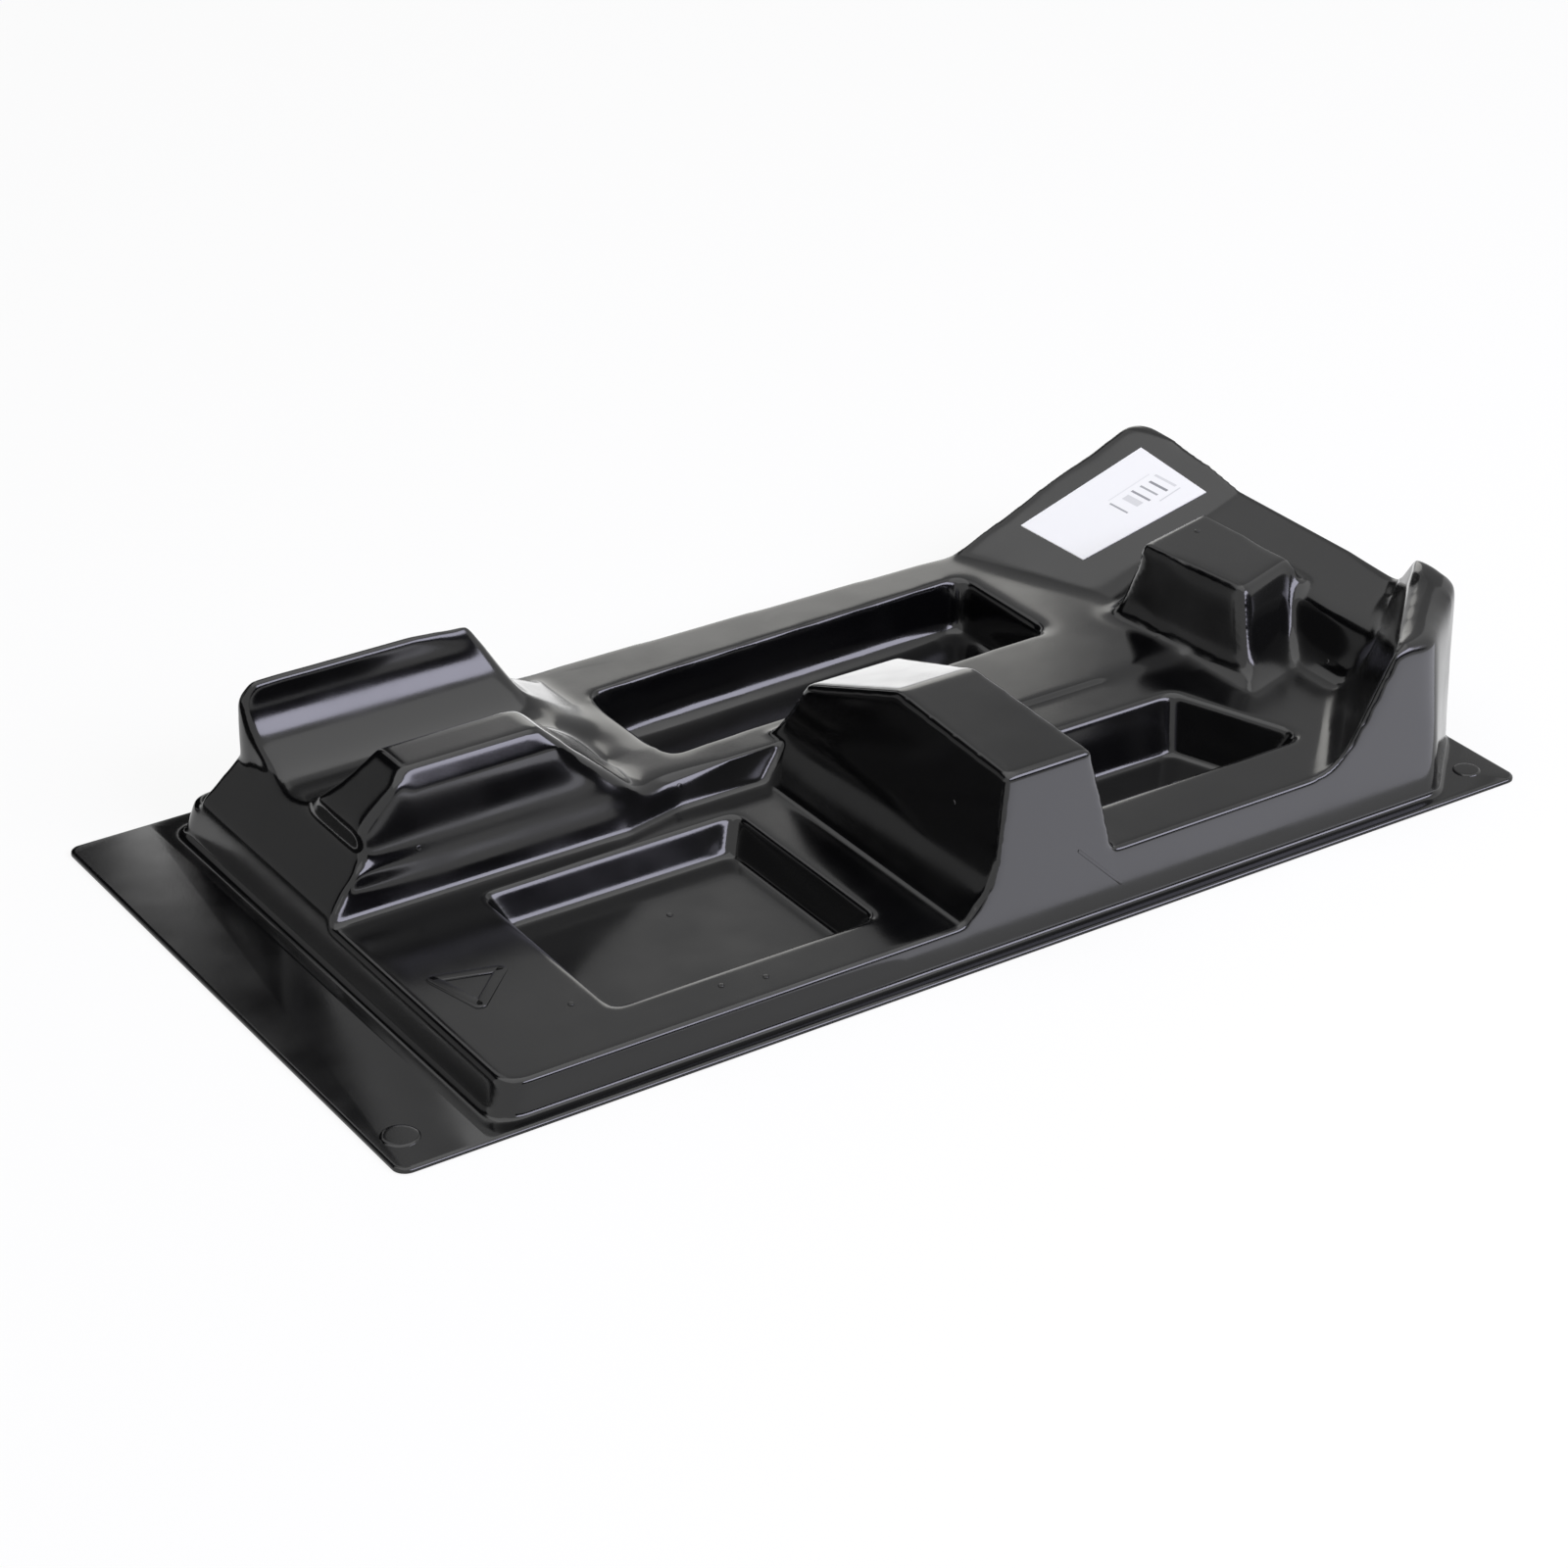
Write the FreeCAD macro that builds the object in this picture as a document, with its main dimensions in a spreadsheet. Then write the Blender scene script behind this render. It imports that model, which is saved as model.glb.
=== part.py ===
import FreeCAD, Part
import os
import re

import Sketcher
from FreeCAD import Vector, Rotation, Placement
from math import cos, pi, sin

# Thermoformed insert tray, one sheet of plastic drawn over a mould, with its paper label.
# Datum while modelling: front left corner of the flange, X along the tray, Y to the back, Z up.
# Heights are above the flange's upper face. The finished pieces are moved at the end, so that
# the origin is the middle of the flange's underside.

sizes = {
    # sheet and flange
    "trayLength": 380,
    "trayWidth": 200,
    "wall": 1.2,
    "flangeCorner": 4,
    # foot of the raised body on the flange
    "leftLip": 31,
    "frontLip": 5,
    "backLip": 7.5,
    "backLipRight": 13,
    "cornerCutLength": 28,
    "cornerCutDepth": 27,
    "leftDraft": 20,
    "frontDraft": 6,
    "rightDraft": 0.5,
    "backDraft": 3,
    "bodyCorner": 7,
    "bodyReach": 70,
    # how far limits and cutters run past the form that they meet
    "overrun": 30,
    # low platform at the front left
    "platformHeight": 10,
    # deck behind the platform, and the slightly lower deck at the front right
    "deckHeight": 19,
    "deckLeft": 60,
    "stepY": 105.2,
    "stepJogX": 130,
    "stepJogLength": 20,
    "stepJog": 4.5,
    "stepDraft": 25,
    "frontDeckHeight": 18,
    "frontDeckBack": 91,
    # rectangular pocket in the platform
    "pocketX": 78,
    "pocketY": 24,
    "pocketLength": 85,
    "pocketWidth": 71,
    "pocketFloor": 0,
    "pocketDraft": 26,
    "pocketCorner": 4,
    # long slot in the deck
    "slotX": 157,
    "slotY": 122,
    "slotLength": 141,
    "slotWidth": 46,
    "slotSkew": 4,
    "slotFloor": 2,
    "slotDraft": 9,
    "slotCorner": 5,
    # well in the front deck, beside the upright block
    "wellLeft": 239,
    "wellRight": 321,
    "wellFront": 29.5,
    "wellBack": 73,
    "wellTaper": 16,
    "wellFloor": 1,
    "wellDraft": 20,
    "wellCorner": 5,
    # saddle at the back left: ridge, trough and upright back
    "saddleHeight": 49.3,
    "saddleLeft": 36,
    "saddleShoulder": 12.5,
    "saddleSlope": 45,
    "saddleTop": 26,
    "backrestLeft": 47,
    "backrestChamfer": 5,
    "backrestRight": 123,
    "backrestDraft": 26.4,
    "backrestKnee": 27,
    "backrestBack": 178.5,
    "backrestBackFoot": 185.5,
    "saddleFoot": 150,
    "ridgeHeight": 46,
    "ridgeFront": 110,
    "ridgeFoot": 107,
    "ridgeBlend": 9,
    "ridgeEndTop": 109,
    "ridgeEndFoot": 139,
    "ridgeEndBack": 145.5,
    "ridgeRampHeight": 31,
    "ridgeRampEnd": 65,
    "troughRadius": 24,
    "troughY": 151.5,
    # upright block in the middle
    "blockLeft": 198,
    "blockWidth": 26,
    "blockWallTop": 58,
    "blockLeftFoot": 180,
    "blockRightFoot": 232,
    "blockShoulder": 20,
    "blockShoulderRun": 7,
    "blockFlare": 22,
    "blockFrontHeight": 50,
    "blockCrest": 64.5,
    "blockCrestHeight": 53,
    "blockBack": 106,
    "blockBackHeight": 38,
    "blockBackFoot": 117,
    # right end: ramp with raised corners, corner tower, and the bowl between them;
    # a reach is measured inwards from the tray's right end
    "rampReach": 55,
    "rampGrade": 0.445,
    "rampFoot": 5,
    "backRampReach": 66.5,
    "backRampY": 164,
    "backRampGrade": 0.4985,
    "backRampTurn": 22.7,
    "peakHeight": 50,
    "bowlReach": 27.5,
    "bowlBack": 74,
    "bowlSkew": 19,
    "bowlRadius": 12,
    "bowlDraft": 19,
    "towerHeight": 49,
    "towerGrade": 0.125,
    "towerBack": 45,
    "towerCap": 9,
    "towerFoot": 63,
    "towerReach": 74,
    "towerThickness": 18,
    "towerDraft": 24,
    # raised pad on the ramp
    "padHeight": 43,
    "padReach": 45.4,
    "padY": 75,
    "padWidth": 44.7,
    "padTurn": 6.8,
    "padFrontLength": 27.3,
    "padFrontTurn": 18.4,
    "padBackLength": 30.6,
    "padBackTurn": 14,
    "padDraft": 16,
    # paper label on the ramp, sizes as seen from above
    "labelReach": 49.3,
    "labelY": 151,
    "labelWidth": 27.1,
    "labelSideTurn": 100.4,
    "labelFrontLength": 42.1,
    "labelFrontTurn": -13.5,
    "labelBackLength": 43.7,
    "labelBackTurn": -7.6,
    "labelThickness": 0.25,
}

doc = FreeCAD.newDocument("insertTray")
sheet = doc.addObject("Spreadsheet::Sheet", "sizes")
for row, (name, number) in enumerate(sizes.items(), start=1):
    sheet.set(f"A{row}", name)
    sheet.set(f"B{row}", str(number))
    sheet.setAlias(f"B{row}", name)
doc.recompute()


def size(name):
    """A size as it stands in the sheet."""
    return float(sheet.get(name))


def bound(text):
    """An expression's text with every size name pointed at the sheet."""
    return re.sub(r"[A-Za-z]\w+", lambda m: "sizes." + m[0] if m[0] in sizes else m[0], text)


def bind(thing, **properties):
    """Ties properties of an object to expressions."""
    for name, text in properties.items():
        thing.setExpression(name, bound(text))
    return thing


planes = {
    "XY": Rotation(),
    "YZ": Rotation(Vector(0, 1, 0), Vector(0, 0, 1), Vector(1, 0, 0), "ZXY"),
    "XZ": Rotation(Vector(1, 0, 0), Vector(0, 0, 1), Vector(0, -1, 0), "ZXY"),
}


def mitres(points):
    """How far each corner moves for an inset of 1 on both of its edges."""
    moves = []
    count = len(points)
    area = sum(points[i - 1].x * points[i].y - points[i].x * points[i - 1].y for i in range(count))
    turn = 1 if area > 0 else -1
    for i in range(count):
        before = (points[i] - points[i - 1]).normalize()
        after = (points[(i + 1) % count] - points[i]).normalize()
        first = Vector(-before.y, before.x, 0) * turn
        second = Vector(-after.y, after.x, 0) * turn
        moves.append((first + second) / (1 + first.dot(second)))
    return moves


def outline(name, corners, station="0", inset="0", plane="XY"):
    """Closed sketch through corners given as pairs of expressions, moved inwards by the inset."""
    sketch = doc.addObject("Sketcher::SketchObject", name)
    sketch.Placement = Placement(Vector(0, 0, 0), planes[plane])
    normal = {"XY": "z", "YZ": "x", "XZ": "y"}[plane]
    sketch.setExpression(f"Placement.Base.{normal}", bound(station))
    count = len(corners)
    radius = size("trayWidth") / 2
    ring = [Vector(radius * cos(2 * pi * i / count), radius * sin(2 * pi * i / count), 0) for i in range(count)]
    for i in range(count):
        sketch.addGeometry(Part.LineSegment(ring[i], ring[(i + 1) % count]), False)
    for i in range(count):
        sketch.addConstraint(Sketcher.Constraint("Coincident", i, 2, (i + 1) % count, 1))
    for i, corner in enumerate(corners):
        for axis, letter, text in (("DistanceX", "x", corner[0]), ("DistanceY", "y", corner[1])):
            index = sketch.addConstraint(Sketcher.Constraint(axis, -1, 1, i, 1, 10.0))
            sketch.renameConstraint(index, f"{letter}{i}")
            sketch.setExpression(f"Constraints.{letter}{i}", bound(text))
    sketch.recompute()
    if inset != "0":
        moves = mitres([sketch.getPoint(i, 1) for i in range(count)])
        for i, corner in enumerate(corners):
            onBase = plane != "XY" and corner[1] == "0"
            shift = (moves[i].x, 0 if onBase else moves[i].y)
            for letter, text, move in zip("xy", corner, shift):
                moved = f"{text} + {move:.6f} * ({inset})"
                sketch.setExpression(f"Constraints.{letter}{i}", bound(moved))
        sketch.recompute()
    return sketch


def loft(name, sections):
    """Straight-sided solid between outlines."""
    solid = doc.addObject("Part::Loft", name)
    solid.Sections = sections
    solid.Solid = True
    solid.Ruled = True
    return solid


def prism(name, profile, direction, start, end):
    """Solid swept straight from a profile, between two stations along an axis."""
    solid = doc.addObject("Part::Extrusion", name)
    solid.Base = profile
    solid.DirMode = "Custom"
    solid.Dir = direction
    solid.Solid = True
    return bind(solid, LengthFwd=end, LengthRev=f"-({start})")


def rounded(name, base, radiusOf):
    """The solid with each edge rounded by the radius that the rule gives it, if any."""
    base.recompute(True)
    solid = doc.addObject("Part::Fillet", name)
    solid.Base = base
    radii = [radiusOf(edge) for edge in base.Shape.Edges]
    solid.Edges = [(i, radius, radius) for i, radius in enumerate(radii, start=1) if radius > 0]
    return solid


def cut(name, base, tool):
    solid = doc.addObject("Part::Cut", name)
    solid.Base = base
    solid.Tool = tool
    return solid


def fuse(name, solids):
    solid = doc.addObject("Part::MultiFuse", name)
    solid.Shapes = solids
    return solid


def common(name, solids):
    solid = doc.addObject("Part::MultiCommon", name)
    solid.Shapes = solids
    return solid


def standing(edge):
    """True for an edge that climbs."""
    return edge.BoundBox.ZLength > 0.1


def level(edge, height):
    """True for a level edge at a height above the flange's upper face."""
    return edge.BoundBox.ZLength < 0.01 and abs(edge.BoundBox.ZMin - height) < 0.01


class Skin:
    """One side of the sheet: the mould's outer form, or the same form drawn in by the wall."""

    def __init__(self, side, depth):
        self.side = side
        self.depth = depth
        self.thickness = size("wall") if depth == "wall" else 0.0

    def name(self, text):
        return self.side + text

    def raised(self, height):
        return f"{height} + wall - {self.depth}"

    def top(self, height):
        """The number that raised() gives."""
        return size(height) + size("wall") - self.thickness

    def block(self, name, corners, at, height, draft):
        """Raised form: the outline holds at one height and the walls lean inwards above it."""
        sections = []
        for part, station in (("Foot", "0"), ("Top", height)):
            inset = f"({station} - ({at})) * tan({draft}) + {self.depth}"
            lift = "0" if part == "Foot" else self.raised(station)
            sections.append(outline(self.name(name + part), corners, lift, inset))
        return loft(self.name(name), sections)

    def hollow(self, name, corners, at, floor, draft, corner=None):
        """Cutter for a sunk form: the outline holds at one height and the walls lean outwards."""
        sections = []
        for part, station in (("Floor", floor), ("Mouth", "bodyReach")):
            inset = f"({at} - ({station})) * tan({draft}) - {self.depth}"
            sections.append(outline(self.name(name + part), corners, self.raised(station), inset))
        solid = loft(self.name(name), sections)
        if corner is None:
            return solid
        radius = size(corner) + self.thickness
        return rounded(self.name(name + "Rounded"), solid, lambda edge: radius * standing(edge))

    def profile(self, name, corners, plane, direction, start, end):
        """Raised form of one section, which is given by heights above the flange."""
        lifted = [(u, v if v == "0" else f"{v} + wall") for u, v in corners]
        sketch = outline(self.name(name + "Profile"), lifted, inset=self.depth, plane=plane)
        return prism(self.name(name), sketch, direction, start, end)


def bodyEnvelope(skin):
    """Outer walls of the raised body, carried up past the highest form."""
    def walls(height):
        left = f"leftLip + ({height}) * tan(leftDraft)"
        front = f"frontLip + ({height}) * tan(frontDraft)"
        right = f"trayLength - ({height}) * tan(rightDraft)"
        backLeft = f"trayWidth - backLip - ({height}) * tan(backDraft)"
        backRight = f"trayWidth - backLipRight - ({height}) * tan(backDraft)"
        return [
            (left, front),
            (f"trayLength - cornerCutLength - ({height}) * tan(rightDraft)", front),
            (right, f"frontLip + cornerCutDepth + ({height}) * tan(rightDraft)"),
            (right, backRight),
            (left, backLeft),
        ]

    foot = outline(skin.name("BodyFoot"), walls("0"), "0", skin.depth)
    head = outline(skin.name("BodyHead"), walls("bodyReach"), "bodyReach", skin.depth)
    solid = loft(skin.name("BodyWalls"), [foot, head])
    return rounded(skin.name("Body"), solid, lambda edge: size("bodyCorner") * standing(edge))


def platform(skin):
    solid = doc.addObject("Part::Box", skin.name("Platform"))
    return bind(solid, Length="trayLength", Width="trayWidth", Height=skin.raised("platformHeight"))


def stepWall(skin):
    """Everything behind the step, whose wall leans back up to the deck and stands upright above it."""
    corners = [
        ("leftLip - overrun", "stepY"),
        ("stepJogX", "stepY"),
        ("stepJogX + stepJogLength", "stepY + stepJog"),
        ("blockLeft", "stepY + stepJog"),
        ("blockLeft", "frontDeckBack"),
        ("trayLength + overrun", "frontDeckBack"),
        ("trayLength + overrun", "trayWidth + overrun"),
        ("leftLip - overrun", "trayWidth + overrun"),
    ]
    lean = f"-deckHeight * tan(stepDraft) + {skin.depth}"
    foot = outline(skin.name("StepWallFoot"), corners, "0", lean)
    edge = outline(skin.name("StepWallEdge"), corners, "deckHeight", skin.depth)
    head = outline(skin.name("StepWallHead"), corners, "bodyReach", skin.depth)
    return loft(skin.name("StepWall"), [foot, edge, head])


def deck(skin):
    solid = doc.addObject("Part::Box", skin.name("Deck"))
    bind(solid, Length="trayLength", Width="trayWidth", Height=skin.raised("deckHeight"))
    return bind(solid, **{"Placement.Base.x": f"deckLeft + {skin.depth}"})


def frontDeck(skin):
    corners = [
        ("blockLeft", "-overrun"),
        ("trayLength + overrun", "-overrun"),
        ("trayLength + overrun", "frontDeckBack + overrun"),
        ("blockLeft", "frontDeckBack + overrun"),
    ]
    return skin.block("FrontDeck", corners, "frontDeckHeight", "frontDeckHeight", "stepDraft")


def saddle(skin):
    """Ridge, trough and upright back in one section along X, with a sloping left shoulder."""
    section = [
        ("ridgeFoot - 2 * ridgeBlend", "0"),
        ("ridgeFoot - 2 * ridgeBlend", "deckHeight"),
        ("ridgeFoot", "deckHeight"),
        ("ridgeFront", "ridgeHeight"),
        ("troughY - troughRadius", "ridgeHeight"),
        ("troughY + troughRadius", "saddleHeight"),
        ("backrestBack", "saddleHeight"),
        ("backrestBackFoot", "0"),
    ]
    across = skin.profile("SaddleSection", section, "YZ", Vector(1, 0, 0), "0", "saddleFoot + overrun")
    front = skin.top("deckHeight")
    blend = size("ridgeBlend")

    def foot(edge):
        return blend if level(edge, front) and edge.BoundBox.YMin > size("ridgeFoot") - blend else 0

    across = rounded(skin.name("SaddleBlend"), across, foot)
    side = [
        ("leftLip - overrun", "0"),
        ("saddleLeft", "saddleShoulder"),
        ("saddleLeft + (saddleTop - saddleShoulder) / tan(saddleSlope)", "saddleTop"),
        ("backrestLeft", "saddleHeight - backrestChamfer"),
        ("backrestLeft + backrestChamfer + overrun", "saddleHeight + overrun"),
        ("backrestRight - overrun * tan(backrestDraft)", "saddleHeight + overrun"),
        ("backrestRight + (saddleHeight - backrestKnee) * tan(backrestDraft)", "backrestKnee"),
        ("saddleFoot", "deckHeight"),
        ("saddleFoot", "0"),
    ]
    along = skin.profile("SaddleSide", side, "XZ", Vector(0, 1, 0), "0", "trayWidth")
    body = common(skin.name("SaddleBody"), [across, along])
    trough = doc.addObject("Part::Cylinder", skin.name("Trough"))
    trough.Placement = Placement(Vector(0, 0, 0), Rotation(Vector(0, 1, 0), 90))
    bind(trough, Radius=f"troughRadius + {skin.depth}", Height="saddleFoot + overrun")
    trough.setExpression("Placement.Base.y", bound("troughY"))
    trough.setExpression("Placement.Base.z", bound("saddleHeight + wall"))
    body = cut(skin.name("SaddleTrough"), body, trough)
    ramp = [
        ("backrestLeft - overrun", "ridgeRampHeight"),
        ("backrestLeft", "ridgeRampHeight"),
        ("ridgeRampEnd", "ridgeHeight"),
        ("ridgeRampEnd", "saddleHeight + overrun"),
        ("backrestLeft - overrun", "saddleHeight + overrun"),
    ]
    lifted = [(x, f"{z} + wall") for x, z in ramp]
    sketch = outline(skin.name("RidgeRampProfile"), lifted, inset=f"-({skin.depth})", plane="XZ")
    above = prism(skin.name("RidgeRamp"), sketch, Vector(0, 1, 0), "stepY - overrun", "troughY")
    body = cut(skin.name("SaddleRamped"), body, above)
    end = [
        ("ridgeEndTop", "ridgeHeight"),
        ("ridgeEndFoot", "deckHeight"),
        ("ridgeEndFoot + overrun", "deckHeight"),
        ("ridgeEndFoot + overrun", "saddleHeight + overrun"),
        ("ridgeEndTop", "saddleHeight + overrun"),
    ]
    lifted = [(x, f"{z} + wall") for x, z in end]
    sketch = outline(skin.name("RidgeEndProfile"), lifted, inset=f"-({skin.depth})", plane="XZ")
    beyond = prism(skin.name("RidgeEnd"), sketch, Vector(0, 1, 0), "stepY - overrun", "ridgeEndBack")
    return cut(skin.name("Saddle"), body, beyond)


def uprightBlock(skin):
    """House-shaped block: one section along X with a flared left foot, one along Y for its roof."""
    section = [
        ("blockLeftFoot", "0"),
        ("blockLeftFoot", "platformHeight"),
        ("blockLeft - blockShoulderRun", "blockShoulder"),
        ("blockLeft", "blockWallTop"),
        ("blockLeft + blockWidth", "blockWallTop"),
        ("blockRightFoot", "frontDeckHeight"),
        ("blockRightFoot", "0"),
    ]
    across = skin.profile("BlockSection", section, "XZ", Vector(0, 1, 0), "0", "blockBackFoot + overrun")
    shoulder = size("blockShoulder") + size("wall")

    def flare(edge):
        box = edge.BoundBox
        near = abs(box.Center.z - shoulder) < 2 * size("wall") and box.XMax < size("blockLeft")
        return size("blockFlare") + skin.thickness if near and box.YLength > size("blockFlare") else 0

    across = rounded(skin.name("BlockFlare"), across, flare)
    roof = [
        ("frontLip", "0"),
        ("frontLip + blockFrontHeight * tan(frontDraft)", "blockFrontHeight"),
        ("blockCrest", "blockCrestHeight"),
        ("blockBack", "blockBackHeight"),
        ("blockBackFoot", "deckHeight"),
        ("blockBackFoot", "0"),
    ]
    left = "blockLeftFoot - overrun"
    right = "blockRightFoot + overrun"
    along = skin.profile("BlockRoof", roof, "YZ", Vector(1, 0, 0), left, right)
    return common(skin.name("Block"), [across, along])


def incline(skin, name, x, y, grade, azimuth):
    """Solid under a plane that climbs in one compass direction from a point of the deck."""
    corners = [
        (f"(rampFoot - deckHeight) / {grade}", "0"),
        (f"(rampFoot - deckHeight) / {grade}", "rampFoot"),
        (f"(peakHeight - deckHeight) / {grade}", "peakHeight"),
        ("trayWidth", "peakHeight"),
        ("trayWidth", "0"),
    ]
    solid = skin.profile(name, corners, "XZ", Vector(0, 1, 0), "-trayWidth", "trayWidth")
    solid.Placement = Placement(Vector(0, 0, 0), Rotation(Vector(0, 0, 1), 0))
    bind(solid, **{"Placement.Base.x": x, "Placement.Base.y": y, "Placement.Rotation.Angle": azimuth})
    return solid


def ramp(skin):
    """Right end of the body: the higher of two planes, one climbing to the right, one to the far corner."""
    slope = incline(skin, "Slope", "trayLength - rampReach", "trayWidth / 2", "rampGrade", "0")
    start = "trayLength - backRampReach"
    back = incline(skin, "BackSlope", start, "backRampY", "backRampGrade", "backRampTurn")
    return fuse(skin.name("Ramp"), [slope, back])


def bowl(skin):
    """Cutter for the bowl in front of the ramp, with a large radius round its floor."""
    corners = [
        ("blockLeft", "-overrun"),
        ("trayLength - bowlReach", "-overrun"),
        ("trayLength - bowlReach", "bowlBack"),
        ("blockLeft", "bowlBack - (trayLength - bowlReach - blockLeft) * tan(bowlSkew)"),
    ]
    solid = skin.hollow("BowlCut", corners, "frontDeckHeight", "frontDeckHeight", "bowlDraft")
    floor = skin.top("frontDeckHeight")
    left = size("blockLeft") + size("wall")

    def blend(edge):
        behind = level(edge, floor) and edge.BoundBox.YMax > 0 and edge.BoundBox.XMax > left
        return size("bowlRadius") + skin.thickness if behind else 0

    return rounded(skin.name("Bowl"), solid, blend)


def tower(skin):
    """Rounded wall along the cut corner, with a sloping top and its foot blended into the deck."""
    back = "towerReach + towerThickness + overrun"
    corners = [
        ("trayLength - towerReach - towerThickness", "0"),
        ("trayLength + overrun", "0"),
        ("trayLength + overrun", back),
    ]
    block = skin.block("TowerPlan", corners, "0", "bodyReach", "0")
    peak = "towerHeight + (towerBack - frontLip) * towerGrade"
    slope = [
        ("-overrun", "0"),
        ("-overrun", "towerHeight - (overrun + frontLip) * towerGrade"),
        ("towerBack", peak),
        ("towerBack + towerCap", peak),
        ("towerFoot", "deckHeight"),
        ("towerFoot", "0"),
    ]
    start = "trayLength - trayWidth"
    above = skin.profile("TowerTop", slope, "YZ", Vector(1, 0, 0), start, "trayLength + overrun")
    block = common(skin.name("TowerBlock"), [block, above])
    corners = [
        ("trayLength - towerReach - trayWidth", "-trayWidth"),
        ("trayLength - towerReach + trayWidth", "trayWidth"),
        ("trayLength - towerReach - trayWidth", "trayWidth"),
    ]
    inside = skin.hollow("TowerInside", corners, "frontDeckHeight", "frontDeckHeight", "towerDraft")
    floor = skin.top("frontDeckHeight")
    radius = size("bowlRadius") + skin.thickness

    def blend(edge):
        slanted = min(edge.BoundBox.XLength, edge.BoundBox.YLength) > size("trayWidth")
        return radius if level(edge, floor) and slanted else 0

    inside = rounded(skin.name("TowerBlend"), inside, blend)
    return cut(skin.name("Tower"), block, inside)


def corner(x, y, *steps):
    """Expressions for a point reached from x, y by steps of a length along a compass direction."""
    across = "".join(f" + {length} * cos({turn})" for length, turn in steps)
    along = "".join(f" + {length} * sin({turn})" for length, turn in steps)
    return (x + across, y + along)


def pad(skin):
    """Raised pad on the ramp, a little wider at its back."""
    left = "trayLength - padReach"
    side = ("padWidth", "(padTurn + 90)")
    corners = [
        corner(left, "padY"),
        corner(left, "padY", ("padFrontLength", "padFrontTurn")),
        corner(left, "padY", side, ("padBackLength", "padBackTurn")),
        corner(left, "padY", side),
    ]
    return skin.block("Pad", corners, "padHeight", "padHeight", "padDraft")


def paperLabel():
    """The ramp's own surface under the label, lifted by the paper's thickness."""
    cover = Skin("cover", "-labelThickness")
    left = "trayLength - labelReach"
    side = ("labelWidth", "labelSideTurn")
    corners = [
        corner(left, "labelY"),
        corner(left, "labelY", ("labelFrontLength", "labelFrontTurn")),
        corner(left, "labelY", side, ("labelBackLength", "labelBackTurn")),
        corner(left, "labelY", side),
    ]
    patch = prism("LabelPatch", outline("LabelOutline", corners), Vector(0, 0, 1), "0", "bodyReach")
    lifted = common("LabelCover", [patch, ramp(cover)])
    return cut("Label", lifted, ramp(Skin("under", "0")))


def pocketCuts(skin):
    pocket = [
        ("pocketX", "pocketY"),
        ("pocketX + pocketLength", "pocketY"),
        ("pocketX + pocketLength", "pocketY + pocketWidth"),
        ("pocketX", "pocketY + pocketWidth"),
    ]
    slot = [
        ("slotX", "slotY"),
        ("slotX + slotLength", "slotY + slotSkew"),
        ("slotX + slotLength", "slotY + slotSkew + slotWidth"),
        ("slotX", "slotY + slotWidth"),
    ]
    well = [
        ("wellLeft", "wellFront"),
        ("wellRight", "wellFront"),
        ("wellRight - wellTaper", "wellBack"),
        ("wellLeft", "wellBack"),
    ]
    cuts = [
        skin.hollow("Pocket", pocket, "platformHeight", "pocketFloor", "pocketDraft", "pocketCorner"),
        skin.hollow("Slot", slot, "deckHeight", "slotFloor", "slotDraft", "slotCorner"),
        skin.hollow("Well", well, "frontDeckHeight", "wellFloor", "wellDraft", "wellCorner"),
    ]
    return fuse(skin.name("Pockets"), cuts)


def mould(skin):
    climbing = fuse(skin.name("RampWithPad"), [ramp(skin), pad(skin)])
    rightEnd = cut(skin.name("RightEnd"), climbing, bowl(skin))
    decked = fuse(skin.name("DeckSaddle"), [deck(skin), saddle(skin)])
    behind = common(skin.name("Behind"), [stepWall(skin), decked])
    raised = fuse(skin.name("Raised"), [
        platform(skin), behind, frontDeck(skin), rightEnd, tower(skin),
    ])
    within = common(skin.name("Within"), [bodyEnvelope(skin), raised])
    sunk = cut(skin.name("Sunk"), within, pocketCuts(skin))
    return fuse(skin.name("Form"), [sunk, uprightBlock(skin)])


def moveToOrigin(solid):
    solid.setExpression("Placement.Base.x", bound("-trayLength / 2"))
    solid.setExpression("Placement.Base.y", bound("-trayWidth / 2"))


plate = bind(doc.addObject("Part::Box", "FlangePlate"), Length="trayLength", Width="trayWidth", Height="wall")
flange = rounded("Flange", plate, lambda edge: size("flangeCorner") * standing(edge))
outer = mould(Skin("outer", "0"))
inner = mould(Skin("inner", "wall"))
tray = cut("Tray", fuse("Sheet", [flange, outer]), inner)
tray.Label = "tray"
label = paperLabel()
label.Label = "label"
for piece in (tray, label):
    moveToOrigin(piece)
doc.recompute()

for item in doc.Objects:
    if "Invalid" in item.State or "Error" in item.State:
        raise RuntimeError(f"{item.Label} is {item.State}")

os.makedirs("parts", exist_ok=True)
for piece in (tray, label):
    if piece.Shape.isNull() or not piece.Shape.isValid():
        raise RuntimeError(f"{piece.Label} has no valid shape")
    print(piece.Label, round(piece.Shape.Volume), len(piece.Shape.Solids), piece.Shape.BoundBox)
    piece.Shape.exportStep(f"parts/{piece.Label}.step")
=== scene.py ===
import bpy
import bmesh
import math
import numpy as np
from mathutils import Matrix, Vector
from mathutils.bvhtree import BVHTree


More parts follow.
